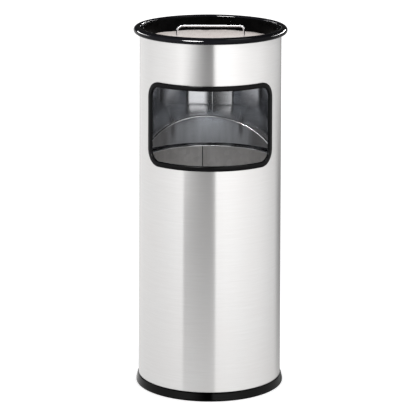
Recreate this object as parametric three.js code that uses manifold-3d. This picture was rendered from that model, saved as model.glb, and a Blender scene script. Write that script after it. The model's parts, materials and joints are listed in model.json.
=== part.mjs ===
// A free-standing round litter bin with an ash bowl on top.
//
// Units are millimetres and +Z is up. The origin is the centre of the underside,
// and the litter aperture faces -Y. A rolled stainless shell stands in a plastic
// foot ring and carries a plastic top ring. The ash bowl hangs in the top ring and
// lifts out by its wire handle. A galvanised bucket stands inside on the base plate.

import * as THREE from 'three';
import { mergeVertices } from 'three/addons/utils/BufferGeometryUtils.js';
import Module from 'manifold-3d';

const wasm = await Module();
wasm.setup();

// ---- driving dimensions -------------------------------------------------------

const GAP = 0.3; // between pieces that rest on or grip each other

const BIN_HEIGHT = 620; // floor to the top of the top ring
const SHELL_RADIUS = 123.5; // outside of the sheet
const SHELL_SHEET = 1;

const FOOT_RADIUS = 127.4;
const FOOT_HEIGHT = 14.8;
const FOOT_FLOOR = 4; // thickness of the ledge under the shell
const FOOT_INNER_RADIUS = 112;
const FOOT_EDGE_ROUND = 1.2;
const FOOT_BAND = 4.5; // height of the upright band below the ring's slope
const FOOT_LAND = 0.5; // width of the flat at the top of the slope

const PLATE_SHEET = 1;
const PLATE_FLANGE = 12;

const RING_RADIUS = 134;
const RING_THICKNESS = 11.3; // of the rounded bead that overhangs the shell
const RING_INNER_RADIUS = 122.6;
const RING_SKIRT_RADIUS = 118;
const RING_SKIRT_DEPTH = 20;
const RING_LEDGE_DEPTH = 3.7; // where the ash bowl hangs, below the ring's top
const RING_INNER_ROUND = 1.6;
const SHELL_INTO_RING = 1.7;

const APERTURE_BOTTOM = 401.5; // clear opening inside the edging
const APERTURE_TOP = 528.5;
const APERTURE_HALF_ARC = 116.7; // measured round the shell's outside
const APERTURE_CORNER = 19.5;
const EDGING_LIP = 9;
const EDGING_WEB = 1.8; // rubber between the clear opening and the sheet's cut edge
const EDGING_LIP_OUT = 2.1; // how far the lip reaches from the shell's face
const EDGING_LIP_IN = 2.1;

const BOWL_RADIUS = 117;
const BOWL_SHEET = 1;
const BOWL_FLOOR = 557; // underside of the bowl
const BOWL_CORNER = 6;
const SAND_TOP = 595;

const HANDLE_WIRE = 2; // radius
const HANDLE_SPAN = 116.5; // between leg centres
const HANDLE_BAR = 621.6; // height of the bar's centre
const HANDLE_BEND = 8.5;
const NUT_ACROSS_FLATS = 7;
const NUT_HEIGHT = 3.2;
const WASHER_RADIUS = 6;
const WASHER_THICKNESS = 1.2;
const LEG_PAST_NUT = 1;

const BUCKET_RADIUS = 113.2; // outside of the wall
const BUCKET_SHEET = 0.8;
const BUCKET_TOP = 388;
const BUCKET_FLOOR = 14; // top of the bucket's raised bottom
const CURL_RADIUS = 2.4; // outside of the rolled rim's section
const CURL_END = -110; // degrees, where the rolled rim's free edge stops
const SEAM_WIDTH = 6;
const SEAM_STEP = 0.8;
const SEAM_OFFSET = 8.5; // from the middle between the ears, along the back of the wall
const BUCKET_TURN = 9.2; // degrees, how the loose bucket stands turned in the shell

const BAIL_WIRE = 1.6; // radius
const BAIL_TILT = 40.5; // degrees, how far the bail stands up from the rim at the back
const BAIL_RISE = 90; // from the pivots to the middle of the bow
const BAIL_LEG = 7; // straight part beside each ear
const BAIL_BEND = 2.5;
const BAIL_END = 106.2; // from the axis to the peened ends
const BAIL_HEAD_RADIUS = 3.2;
const BAIL_HEAD_LENGTH = 1.4;
const EAR_THICKNESS = 1.5;
const EAR_WIDTH = 24;
const EAR_TAIL = 26; // from the pivot down to the ear's lower edge
const EAR_NOSE = 7; // radius round the pivot
const RIVET_RADIUS = 1.5;
const RIVET_HEAD_RADIUS = 3;
const RIVET_HEAD_HEIGHT = 1.2;
const RIVET_DROP = 19; // below the pivot
const RIVET_SIDE = 7; // to each side of the pivot

const ROUND_STEPS = 64; // sides of the pieces turned round the bin's axis
const SMALL_STEPS = 16;
const WIRE_STEPS = 10;

// ---- sizes that follow from them ----------------------------------------------

const SHELL_BOTTOM = FOOT_FLOOR + GAP;
const SHELL_INNER = SHELL_RADIUS - SHELL_SHEET;
const RING_UNDERSIDE = BIN_HEIGHT - RING_THICKNESS;
const SHELL_TOP = RING_UNDERSIDE + SHELL_INTO_RING;
const LEDGE_HEIGHT = BIN_HEIGHT - RING_LEDGE_DEPTH;
const PLATE_TOP = SHELL_BOTTOM + PLATE_SHEET;
const BOWL_INNER = BOWL_RADIUS - BOWL_SHEET;
const BOWL_RIM = LEDGE_HEIGHT + GAP + BOWL_SHEET;
const WASHER_TOP = BOWL_FLOOR - GAP;
const NUT_TOP = WASHER_TOP - WASHER_THICKNESS - GAP;
const LEG_END = NUT_TOP - NUT_HEIGHT - LEG_PAST_NUT;
const BUCKET_BOTTOM = PLATE_TOP + GAP;
const BUCKET_INNER = BUCKET_RADIUS - BUCKET_SHEET;
const CURL_CENTRE = BUCKET_INNER + CURL_RADIUS;
const CURL_HEIGHT = BUCKET_TOP - CURL_RADIUS;
const PIVOT_HEIGHT = BUCKET_TOP + GAP + BAIL_WIRE;
const EAR_OUTER = BUCKET_INNER - GAP;
const EAR_INNER = EAR_OUTER - EAR_THICKNESS;
const BAIL_REACH = EAR_OUTER + 2 * GAP + BAIL_WIRE;
const BOW_CENTRE = (BAIL_RISE ** 2 - BAIL_REACH ** 2 - BAIL_LEG ** 2) / (2 * (BAIL_RISE - BAIL_LEG));
const BOW_RADIUS = BAIL_RISE - BOW_CENTRE;

// ---- small tools --------------------------------------------------------------

const radians = THREE.MathUtils.degToRad;

function toSolid(geometry) {
  const bare = geometry.clone();
  bare.deleteAttribute('normal');
  bare.deleteAttribute('uv');
  const merged = mergeVertices(bare);
  const vertProperties = new Float32Array(merged.attributes.position.array);
  const triVerts = new Uint32Array(merged.index.array);
  return new wasm.Manifold(new wasm.Mesh({ numProp: 3, vertProperties, triVerts }));
}

function toGeometry(solid) {
  const { vertProperties, triVerts } = solid.getMesh();
  const geometry = new THREE.BufferGeometry();
  geometry.setAttribute('position', new THREE.BufferAttribute(vertProperties, 3));
  geometry.setIndex(new THREE.BufferAttribute(triVerts, 1));
  geometry.computeVertexNormals();
  return geometry;
}

// Points on an arc in a section plane, from one angle to another in degrees.
function arc(centreX, centreY, radius, from, to, steps) {
  return Array.from({ length: steps + 1 }, (_, i) => {
    const angle = radians(from + ((to - from) * i) / steps);
    const x = centreX + radius * Math.cos(angle);
    const y = centreY + radius * Math.sin(angle);
    return new THREE.Vector2(x, y);
  });
}

// Turns a section of (radius, height) points round the Z axis. The section runs
// anticlockwise, and either closes on itself or starts and ends on the axis.
function turned(section, steps = ROUND_STEPS) {
  const points = section.map((p) => (Array.isArray(p) ? new THREE.Vector2(...p) : p));
  const onAxis = points[0].x === 0;
  const profile = onAxis ? points : [...points, points[0].clone()];
  return new THREE.LatheGeometry(profile, steps).rotateX(Math.PI / 2);
}

function tube(inner, outer, bottom, top, steps = ROUND_STEPS) {
  return turned([[inner, bottom], [outer, bottom], [outer, top], [inner, top]], steps);
}

// A cylinder that lies along X, starting at x = from.
function rodAlongX(radius, from, to, height) {
  const rod = new THREE.CylinderGeometry(radius, radius, to - from, SMALL_STEPS);
  return rod.rotateZ(Math.PI / 2).translate((from + to) / 2, 0, height);
}

// A window with round corners, bent round the shell: a box of narrow columns whose
// ends follow the corner arcs. It reaches from one radius out to another.
function bentWindow({ halfArc, bottom, top, corner }, inner, outer) {
  const flatColumns = 24;
  const cornerColumns = 8;
  const columns = flatColumns + 2 * cornerColumns;
  const box = new THREE.BoxGeometry(columns, 1, 1, columns, 1, 1);
  const position = box.attributes.position;
  const flatHalf = halfArc - corner;
  for (let i = 0; i < position.count; i += 1) {
    const column = position.getX(i);
    const side = Math.sign(column);
    const intoCorner = Math.max(0, Math.abs(column) - flatColumns / 2) / cornerColumns;
    const turn = (intoCorner * Math.PI) / 2;
    const flatShare = Math.min(1, Math.abs(column) / (flatColumns / 2));
    const along = side * (flatHalf * flatShare + corner * Math.sin(turn));
    const sag = corner * (1 - Math.cos(turn));
    const height = position.getY(i) > 0 ? top - sag : bottom + sag;
    const radius = position.getZ(i) > 0 ? outer : inner;
    const angle = along / SHELL_RADIUS;
    position.setXYZ(i, radius * Math.sin(angle), -radius * Math.cos(angle), height);
  }
  return toSolid(box);
}

function grownWindow(margin) {
  return {
    halfArc: APERTURE_HALF_ARC + margin,
    bottom: APERTURE_BOTTOM - margin,
    top: APERTURE_TOP + margin,
    corner: APERTURE_CORNER + margin,
  };
}

// A wire's centre line, sampled at exactly the points it is given.
class WirePath extends THREE.Curve {
  constructor(points) {
    super();
    this.points = points;
  }

  getUtoTmapping(u) {
    return u;
  }

  getPoint(t, target = new THREE.Vector3()) {
    const place = t * (this.points.length - 1);
    const start = Math.min(Math.floor(place), this.points.length - 2);
    return target.lerpVectors(this.points[start], this.points[start + 1], place - start);
  }
}

function wire(radius, points) {
  const circle = arc(0, 0, radius, 0, 360, WIRE_STEPS).slice(0, WIRE_STEPS);
  return new THREE.ExtrudeGeometry(new THREE.Shape(circle), {
    steps: points.length - 1,
    extrudePath: new WirePath(points),
  });
}

// ---- the shell and what is fixed to it ----------------------------------------

function outerShell() {
  const sheet = toSolid(tube(SHELL_INNER, SHELL_RADIUS, SHELL_BOTTOM, SHELL_TOP));
  const reach = 12;
  const hole = bentWindow(grownWindow(EDGING_WEB), SHELL_INNER - reach, SHELL_RADIUS + reach);
  return toGeometry(sheet.subtract(hole));
}

// The shell and base plate stand on this ring's ledge. Its outside is an upright
// band with a slope above it that leans in to the shell.
function footRing() {
  const inside = SHELL_RADIUS + GAP;
  const round = FOOT_EDGE_ROUND;
  return turned([
    [FOOT_INNER_RADIUS, 0],
    ...arc(FOOT_RADIUS - round, round, round, -90, 0, 2),
    [FOOT_RADIUS, FOOT_BAND],
    [inside + FOOT_LAND, FOOT_HEIGHT],
    [inside, FOOT_HEIGHT],
    [inside, FOOT_FLOOR],
    [FOOT_INNER_RADIUS, FOOT_FLOOR],
  ]);
}

function basePlate() {
  const outside = SHELL_INNER - GAP;
  return turned([
    [0, SHELL_BOTTOM],
    [outside, SHELL_BOTTOM],
    [outside, SHELL_BOTTOM + PLATE_FLANGE],
    [outside - PLATE_SHEET, SHELL_BOTTOM + PLATE_FLANGE],
    [outside - PLATE_SHEET, PLATE_TOP],
    [0, PLATE_TOP],
  ]);
}

// A rounded bead outside the shell, a groove for the sheet, a skirt inside it, and
// a ledge for the ash bowl's flange.
function topRing() {
  const bead = RING_THICKNESS / 2;
  const round = RING_INNER_ROUND;
  const grooveInner = SHELL_INNER - GAP;
  const grooveOuter = SHELL_RADIUS + GAP;
  return turned([
    [grooveOuter, RING_UNDERSIDE],
    ...arc(RING_RADIUS - bead, BIN_HEIGHT - bead, bead, -90, 90, 6),
    ...arc(RING_INNER_RADIUS + round, BIN_HEIGHT - round, round, 90, 180, 2),
    [RING_INNER_RADIUS, LEDGE_HEIGHT],
    [RING_SKIRT_RADIUS, LEDGE_HEIGHT],
    [RING_SKIRT_RADIUS, BIN_HEIGHT - RING_SKIRT_DEPTH],
    [grooveInner, BIN_HEIGHT - RING_SKIRT_DEPTH],
    [grooveInner, SHELL_TOP + GAP],
    [grooveOuter, SHELL_TOP + GAP],
  ]);
}

// A U-section strip pushed onto the sheet's cut edge, with a lip on each face.
function apertureEdging() {
  const inner = SHELL_INNER - EDGING_LIP_IN;
  const outer = SHELL_RADIUS + EDGING_LIP_OUT;
  const reach = 12;
  const block = bentWindow(grownWindow(EDGING_LIP), inner, outer);
  const clear = bentWindow(grownWindow(0), inner - reach, outer + reach);
  const sheetRoom = toSolid(
    tube(SHELL_INNER - GAP, SHELL_RADIUS + GAP, SHELL_BOTTOM, SHELL_TOP),
  );
  const web = bentWindow(grownWindow(EDGING_WEB - GAP), inner - reach, outer + reach);
  return toGeometry(block.subtract(clear).subtract(sheetRoom.subtract(web)));
}

// ---- the ash bowl -------------------------------------------------------------

function legHoles(radius) {
  const length = 120;
  const holes = [-1, 1].map((side) => {
    const drill = new THREE.CylinderGeometry(radius, radius, length, SMALL_STEPS);
    drill.rotateX(Math.PI / 2).translate((side * HANDLE_SPAN) / 2, 0, BOWL_FLOOR);
    return toSolid(drill);
  });
  return holes[0].add(holes[1]);
}

function ashBowl() {
  const corner = BOWL_CORNER;
  const centreX = BOWL_RADIUS - corner;
  const centreY = BOWL_FLOOR + corner;
  const flange = RING_INNER_RADIUS - GAP;
  const sheet = turned([
    [0, BOWL_FLOOR],
    ...arc(centreX, centreY, corner, -90, 0, 3),
    [BOWL_RADIUS, BOWL_RIM - BOWL_SHEET],
    [flange, BOWL_RIM - BOWL_SHEET],
    [flange, BOWL_RIM],
    [BOWL_INNER, BOWL_RIM],
    ...arc(centreX, centreY, corner - BOWL_SHEET, 0, -90, 3),
    [0, BOWL_FLOOR + BOWL_SHEET],
  ]);
  return toGeometry(toSolid(sheet).subtract(legHoles(HANDLE_WIRE + GAP)));
}

function sandFill() {
  const corner = BOWL_CORNER - BOWL_SHEET - GAP;
  const bottom = BOWL_FLOOR + BOWL_SHEET + GAP;
  const fill = turned([
    [0, bottom],
    ...arc(BOWL_INNER - GAP - corner, bottom + corner, corner, -90, 0, 3),
    [BOWL_INNER - GAP, SAND_TOP],
    [0, SAND_TOP],
  ]);
  return toGeometry(toSolid(fill).subtract(legHoles(HANDLE_WIRE + GAP)));
}

// An upside-down U of wire, whose legs pass down through the sand and the bowl.
function ashHandle() {
  const bendX = HANDLE_SPAN / 2 - HANDLE_BEND;
  const bendZ = HANDLE_BAR - HANDLE_BEND;
  const line = [
    new THREE.Vector2(-HANDLE_SPAN / 2, LEG_END),
    ...arc(-bendX, bendZ, HANDLE_BEND, 180, 90, 6),
    ...arc(bendX, bendZ, HANDLE_BEND, 90, 0, 6),
    new THREE.Vector2(HANDLE_SPAN / 2, LEG_END),
  ];
  return wire(HANDLE_WIRE, line.map((p) => new THREE.Vector3(p.x, 0, p.y)));
}

function handleWasher() {
  return tube(HANDLE_WIRE + GAP, WASHER_RADIUS, 0, WASHER_THICKNESS, SMALL_STEPS);
}

function handleNut() {
  const corners = NUT_ACROSS_FLATS / Math.sqrt(3);
  const hexagon = new THREE.Shape(arc(0, 0, corners, 0, 360, 6).slice(0, 6));
  const hole = arc(0, 0, HANDLE_WIRE + GAP, 0, -360, SMALL_STEPS).slice(0, SMALL_STEPS);
  hexagon.holes.push(new THREE.Path(hole));
  return new THREE.ExtrudeGeometry(hexagon, { depth: NUT_HEIGHT, bevelEnabled: false });
}

// ---- the bucket ---------------------------------------------------------------

// Rivet holes through one ear, drilled along the radius.
function rivetHoles() {
  const drills = [-1, 1].map((side) => {
    const rod = rodAlongX(RIVET_RADIUS + GAP, EAR_INNER - 5, BUCKET_RADIUS + 5, 0);
    rod.rotateZ(side * rivetAngle()).translate(0, 0, PIVOT_HEIGHT - RIVET_DROP);
    return toSolid(rod);
  });
  return drills[0].add(drills[1]);
}

function rivetAngle() {
  return Math.asin(RIVET_SIDE / BUCKET_RADIUS);
}

// One sheet rolled into a cylinder, lapped at a seam, with its top edge rolled
// outwards round a wire.
function bucketWall() {
  const curlInner = CURL_RADIUS - BUCKET_SHEET;
  const sheet = turned([
    [BUCKET_INNER, BUCKET_BOTTOM],
    [BUCKET_RADIUS, BUCKET_BOTTOM],
    ...arc(CURL_CENTRE, CURL_HEIGHT, curlInner, 180, CURL_END, 6),
    ...arc(CURL_CENTRE, CURL_HEIGHT, CURL_RADIUS, CURL_END, 180, 7),
  ]);
  const seamHeight = CURL_HEIGHT - BUCKET_FLOOR - 2 * GAP;
  const lap = new THREE.BoxGeometry(SEAM_WIDTH, SEAM_STEP, seamHeight);
  lap.translate(0, BUCKET_INNER - SEAM_STEP / 2 + GAP, BUCKET_FLOOR + GAP + seamHeight / 2);
  lap.rotateZ(-SEAM_OFFSET / BUCKET_INNER);
  const leftHoles = rivetHoles().rotate([0, 0, 180]);
  const wall = toSolid(sheet).add(toSolid(lap));
  return toGeometry(wall.subtract(rivetHoles()).subtract(leftHoles));
}

// A raised bottom with its edge turned down inside the wall.
function bucketBase() {
  const outside = BUCKET_INNER - GAP;
  const inside = outside - BUCKET_SHEET;
  return turned([
    [0, BUCKET_FLOOR - BUCKET_SHEET],
    [inside, BUCKET_FLOOR - BUCKET_SHEET],
    [inside, BUCKET_BOTTOM],
    [outside, BUCKET_BOTTOM],
    [outside, BUCKET_FLOOR],
    [0, BUCKET_FLOOR],
  ]);
}

function bucketRimWire() {
  const radius = CURL_RADIUS - BUCKET_SHEET - GAP;
  const ring = new THREE.TorusGeometry(CURL_CENTRE, radius, 6, ROUND_STEPS);
  return ring.translate(0, 0, CURL_HEIGHT);
}

// A curved plate riveted inside the wall, standing up past the rim to hold the bail.
function bucketEar() {
  const half = EAR_WIDTH / 2;
  const outline = new THREE.Shape([
    new THREE.Vector2(-half, -EAR_TAIL),
    new THREE.Vector2(half, -EAR_TAIL),
    new THREE.Vector2(half, -EAR_TAIL / 2),
    ...arc(0, 0, EAR_NOSE, -10, 190, 12),
    new THREE.Vector2(-half, -EAR_TAIL / 2),
  ]);
  const depth = 20;
  const blank = new THREE.ExtrudeGeometry(outline, { depth, bevelEnabled: false });
  blank.rotateX(Math.PI / 2).rotateZ(Math.PI / 2);
  blank.translate(EAR_INNER - depth / 4, 0, PIVOT_HEIGHT);
  const curve = toSolid(tube(EAR_INNER, EAR_OUTER, BUCKET_FLOOR, SHELL_TOP));
  const pivot = rodAlongX(BAIL_WIRE + GAP, EAR_INNER - 5, EAR_OUTER + 5, PIVOT_HEIGHT);
  const plate = toSolid(blank).intersect(curve);
  return toGeometry(plate.subtract(toSolid(pivot)).subtract(rivetHoles()));
}

// A rivet along X with a domed head on each side of the ear and wall.
function earRivet() {
  const start = EAR_INNER - GAP;
  const end = BUCKET_RADIUS + GAP;
  const head = RIVET_HEAD_RADIUS;
  const rise = RIVET_HEAD_HEIGHT;
  const domeSteps = 3;
  const dome = Array.from({ length: domeSteps }, (_, i) => {
    const angle = (i * Math.PI) / 2 / domeSteps;
    return [head * Math.sin(angle), rise * Math.cos(angle)];
  });
  const inner = dome.map(([r, h]) => [r, start - h]);
  const outer = dome.map(([r, h]) => [r, end + h]).reverse();
  const profile = [
    ...inner,
    [head, start],
    [RIVET_RADIUS, start],
    [RIVET_RADIUS, end],
    [head, end],
    ...outer,
  ];
  return turned(profile, SMALL_STEPS).rotateY(Math.PI / 2);
}

// A shallow bow of wire in the XY plane, which turns about the X axis, with a short
// straight leg beside each ear. Its ends turn in through the ears and are peened over.
function bucketBail() {
  const startAngle = THREE.MathUtils.radToDeg(Math.asin((BAIL_LEG - BOW_CENTRE) / BOW_RADIUS));
  const bendX = BAIL_REACH - BAIL_BEND;
  const line = [
    new THREE.Vector2(BAIL_END, 0),
    ...arc(bendX, BAIL_BEND, BAIL_BEND, -90, 0, 5),
    ...arc(0, BOW_CENTRE, BOW_RADIUS, startAngle, 180 - startAngle, 32),
    ...arc(-bendX, BAIL_BEND, BAIL_BEND, 180, 270, 5),
    new THREE.Vector2(-BAIL_END, 0),
  ];
  const rod = wire(BAIL_WIRE, line.map((p) => new THREE.Vector3(p.x, p.y, 0)));
  const heads = [-1, 1].map((side) => {
    const ends = [side * BAIL_END, side * (BAIL_END + BAIL_HEAD_LENGTH)];
    return toSolid(rodAlongX(BAIL_HEAD_RADIUS, Math.min(...ends), Math.max(...ends), 0));
  });
  return toGeometry(toSolid(rod).add(heads[0]).add(heads[1]));
}

// ---- materials ----------------------------------------------------------------

function material(color, roughness, metalness) {
  return new THREE.MeshStandardMaterial({ color, roughness, metalness });
}

const brushedStainless = () => material(0xd8d6d2, 0.32, 1);
const blackGloss = () => material(0x0b0b0c, 0.15, 0);
const blackRubber = () => material(0x101011, 0.4, 0);
const blackLacquer = () => material(0x0e0e0f, 0.3, 0.2);
const galvanised = () => material(0x8f9192, 0.45, 1);
const chrome = () => material(0xe6e6e8, 0.08, 1);
const zincPlated = () => material(0xb9bcc0, 0.35, 1);
const paleSand = () => material(0xcfc6c0, 0.95, 0);

// ---- the assembly -------------------------------------------------------------

const bin = new THREE.Group();

function place(parent, name, geometry, surface) {
  const mesh = new THREE.Mesh(geometry, surface);
  mesh.name = name;
  parent.add(mesh);
  return mesh;
}

const body = new THREE.Group();
place(body, 'outer_shell', outerShell(), brushedStainless());
place(body, 'foot_ring', footRing(), blackGloss());
place(body, 'base_plate', basePlate(), galvanised());
place(body, 'top_ring', topRing(), blackGloss());
place(body, 'aperture_edging', apertureEdging(), blackRubber());

const ashTray = new THREE.Group();
place(ashTray, 'ash_bowl', ashBowl(), blackLacquer());
place(ashTray, 'sand_fill', sandFill(), paleSand());
place(ashTray, 'ash_handle', ashHandle(), chrome());

const bucket = new THREE.Group();
place(bucket, 'bucket_wall', bucketWall(), galvanised());
place(bucket, 'bucket_base', bucketBase(), galvanised());
place(bucket, 'bucket_rim_wire', bucketRimWire(), zincPlated());
const bail = place(bucket, 'bucket_bail', bucketBail(), zincPlated());
bail.position.z = PIVOT_HEIGHT;
bail.rotation.x = radians(BAIL_TILT);
bucket.rotation.z = radians(BUCKET_TURN);

for (const [label, side] of [['left', -1], ['right', 1]]) {
  const legX = (side * HANDLE_SPAN) / 2;
  const washer = place(ashTray, `handle_washer_${label}`, handleWasher(), zincPlated());
  washer.position.set(legX, 0, WASHER_TOP - WASHER_THICKNESS);
  const nut = place(ashTray, `handle_nut_${label}`, handleNut(), zincPlated());
  nut.position.set(legX, 0, NUT_TOP - NUT_HEIGHT);

  const turn = side < 0 ? Math.PI : 0;
  const ear = place(bucket, `bucket_ear_${label}`, bucketEar(), galvanised());
  ear.rotation.z = turn;
  for (const [row, lean] of [['front', -side], ['rear', side]]) {
    const rivet = place(bucket, `ear_rivet_${label}_${row}`, earRivet(), zincPlated());
    rivet.rotation.z = turn + lean * rivetAngle();
    rivet.position.z = PIVOT_HEIGHT - RIVET_DROP;
  }
}

bin.add(body, ashTray, bucket);

export default bin;
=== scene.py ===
"""Looks for a round litter bin with an ash bowl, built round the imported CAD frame.

The frame gives the places and outside sizes. Sizes that a box cannot give, such as sheet
thicknesses and the bail's bow, repeat the CAD's. The pieces here are finer meshes of the
same things, with procedural materials. Lengths are metres.
"""

import json
import math

import bmesh
import bpy
from mathutils import Euler, Matrix, Vector, noise


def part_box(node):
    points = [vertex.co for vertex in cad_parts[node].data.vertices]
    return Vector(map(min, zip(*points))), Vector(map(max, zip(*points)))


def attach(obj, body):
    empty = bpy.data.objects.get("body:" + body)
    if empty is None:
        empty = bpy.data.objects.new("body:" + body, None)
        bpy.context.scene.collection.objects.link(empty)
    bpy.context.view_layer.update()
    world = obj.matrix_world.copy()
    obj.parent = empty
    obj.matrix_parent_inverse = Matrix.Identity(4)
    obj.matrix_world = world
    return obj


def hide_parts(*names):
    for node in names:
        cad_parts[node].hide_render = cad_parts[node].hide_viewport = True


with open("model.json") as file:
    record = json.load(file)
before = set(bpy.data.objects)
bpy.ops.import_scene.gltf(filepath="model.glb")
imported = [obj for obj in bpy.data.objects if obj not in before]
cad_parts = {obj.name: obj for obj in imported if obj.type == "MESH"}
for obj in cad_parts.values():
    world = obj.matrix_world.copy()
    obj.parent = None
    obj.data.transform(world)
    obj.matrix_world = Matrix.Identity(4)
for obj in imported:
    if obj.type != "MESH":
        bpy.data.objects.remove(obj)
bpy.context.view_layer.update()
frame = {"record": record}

MM = 0.001
GAP = 0.3 * MM  # between pieces that rest on each other, as in the frame
ROUND = 240  # sides of the pieces turned round the bin's axis


# ---- places that come from the frame --------------------------------------------

SHELL_LOW, SHELL_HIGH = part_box("outer_shell")
RING_LOW, RING_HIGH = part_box("top_ring")
FOOT_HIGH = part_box("foot_ring")[1]
PLATE_LOW, PLATE_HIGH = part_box("base_plate")
EDGING_LOW, EDGING_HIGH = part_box("aperture_edging")
BOWL_LOW, BOWL_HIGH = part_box("ash_bowl")
SAND_LOW, SAND_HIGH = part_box("sand_fill")
HANDLE_LOW, HANDLE_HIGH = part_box("ash_handle")
WALL_LOW, WALL_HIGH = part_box("bucket_wall")
BASE_LOW, BASE_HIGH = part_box("bucket_base")
RIM_LOW, RIM_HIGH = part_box("bucket_rim_wire")

# The bucket stands turned in the shell, and its bail stands up from the rear rim.
SWING = {joint["name"]: joint for joint in frame["record"]["behaviour"]["joints"]}["bail_swing"]
PIVOT = SWING["pos_m"][2]
BUCKET_TURN = math.atan2(SWING["axis"][1], SWING["axis"][0])
BAIL_TILT = -math.radians(SWING["range_deg"][0])

SHELL_RADIUS = SHELL_HIGH.x
SHELL_SHEET = 1.0 * MM
SHELL_INNER = SHELL_RADIUS - SHELL_SHEET


# ---- mesh tools -----------------------------------------------------------------

def around(radius, angle, height):
    """The place at a radius and height, and at an angle round from the front of the bin."""
    return (radius * math.sin(angle), -radius * math.cos(angle), height)


def arc(centre_x, centre_z, radius, start, end, steps=8):
    """Points on an arc in a section plane, from one angle to another in degrees."""
    points = []
    for i in range(steps + 1):
        angle = math.radians(start + (end - start) * i / steps)
        points.append((centre_x + radius * math.cos(angle), centre_z + radius * math.sin(angle)))
    return points


def piece(name, verts, faces, body, nodes, surfaces, crease=32.0):
    """A closed mesh that rides on a body and stands for CAD nodes."""
    mesh = bpy.data.meshes.new(name)
    mesh.from_pydata(verts, [], faces)
    work = bmesh.new()
    work.from_mesh(mesh)
    bmesh.ops.remove_doubles(work, verts=work.verts, dist=1e-7)
    bmesh.ops.recalc_face_normals(work, faces=work.faces)
    work.to_mesh(mesh)
    work.free()
    mesh.shade_smooth()
    mesh.set_sharp_from_angle(angle=math.radians(crease))
    made = bpy.data.objects.new(name, mesh)
    bpy.context.scene.collection.objects.link(made)
    for surface in surfaces:
        mesh.materials.append(surface)
    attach(made, body)
    if nodes:
        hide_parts(*nodes)
    return made


def turned(profile, steps=ROUND):
    """Vertices and faces of a closed (radius, height) profile turned round Z."""
    verts, faces = [], []
    count = len(profile)
    for i in range(steps):
        angle = 2 * math.pi * i / steps
        verts += [around(radius, angle, height) for radius, height in profile]
    for i in range(steps):
        here, there = i * count, (i + 1) % steps * count
        for j in range(count):
            k = (j + 1) % count
            if profile[j][0] == 0 and profile[k][0] == 0:
                continue
            corners = [here + j, here + k, there + k, there + j]
            if profile[j][0] == 0:
                corners.remove(there + j)
            if profile[k][0] == 0:
                corners.remove(there + k)
            faces.append(corners)
    return verts, faces


def looped(rings, closed):
    """Faces between rings of vertices, closed into a loop or with a cap at each end."""
    verts = [point for ring in rings for point in ring]
    size = len(rings[0])
    faces = []
    last = len(rings) if closed else len(rings) - 1
    for i in range(last):
        here, there = i * size, (i + 1) % len(rings) * size
        for j in range(size):
            k = (j + 1) % size
            faces.append([here + j, here + k, there + k, there + j])
    if not closed:
        faces.append(list(range(size))[::-1])
        faces.append(list(range(len(verts) - size, len(verts))))
    return verts, faces


def wire(points, radius, flat, sides=20):
    """A round wire along points that all lie in one plane, whose normal is flat."""
    flat = Vector(flat)
    points = [Vector(p) for p in points]
    rings = []
    for i, point in enumerate(points):
        ahead = points[min(i + 1, len(points) - 1)] - points[max(i - 1, 0)]
        across = ahead.normalized().cross(flat)
        ring = []
        for j in range(sides):
            angle = 2 * math.pi * j / sides
            ring.append(point + (across * math.cos(angle) + flat * math.sin(angle)) * radius)
        rings.append(ring)
    return looped(rings, closed=False)


def turned_with_bucket(point):
    """A point given square to the bucket's ears, turned as the bucket stands in the shell."""
    x, y, z = point
    cos, sin = math.cos(BUCKET_TURN), math.sin(BUCKET_TURN)
    return (cos * x - sin * y, sin * x + cos * y, z)


def on_shell(along, height, out):
    """The point at an arc length along the shell's middle, at a radius out from it."""
    middle = SHELL_RADIUS - SHELL_SHEET / 2
    return around(middle + out, along / SHELL_RADIUS, height)


# ---- node tools -----------------------------------------------------------------

def node(tree, kind, inputs=None, **settings):
    """Adds a node, with values or links for its inputs."""
    made = tree.nodes.new(kind)
    for name, value in settings.items():
        setattr(made, name, value)
    for key, value in (inputs or {}).items():
        if isinstance(value, bpy.types.NodeSocket):
            tree.links.new(value, made.inputs[key])
        else:
            made.inputs[key].default_value = value
    return made


def maths(tree, operation, a, b=0.0):
    return node(tree, "ShaderNodeMath", {0: a, 1: b}, operation=operation).outputs[0]


def ranged(tree, value, low, high, to_low, to_high, smooth=False):
    kind = "SMOOTHSTEP" if smooth else "LINEAR"
    inputs = {"Value": value, 1: low, 2: high, 3: to_low, 4: to_high}
    return node(tree, "ShaderNodeMapRange", inputs, interpolation_type=kind).outputs[0]


def blended(tree, factor, a, b):
    """A colour between a and b."""
    inputs = {"Factor": factor, 6: a, 7: b}
    return node(tree, "ShaderNodeMix", inputs, data_type="RGBA").outputs[2]


def noisy(tree, where, scale, detail=4.0, rough=0.5):
    inputs = {"Vector": where, "Scale": scale, "Detail": detail, "Roughness": rough}
    return node(tree, "ShaderNodeTexNoise", inputs).outputs[0]


def bumped(tree, height, distance, strength):
    inputs = {"Height": height, "Distance": distance, "Strength": strength}
    return node(tree, "ShaderNodeBump", inputs).outputs[0]


def surface(name, base, rough, metal=0.0):
    """A new material, with its tree and its Principled node."""
    made = bpy.data.materials.new(name)
    made.use_nodes = True
    made.diffuse_color = (*base, 1.0)
    tree = made.node_tree
    shader = tree.nodes["Principled BSDF"]
    shader.inputs["Base Color"].default_value = (*base, 1.0)
    shader.inputs["Roughness"].default_value = rough
    shader.inputs["Metallic"].default_value = metal
    return made, tree, shader


def place_of(tree):
    return node(tree, "ShaderNodeTexCoord").outputs["Object"]


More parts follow.
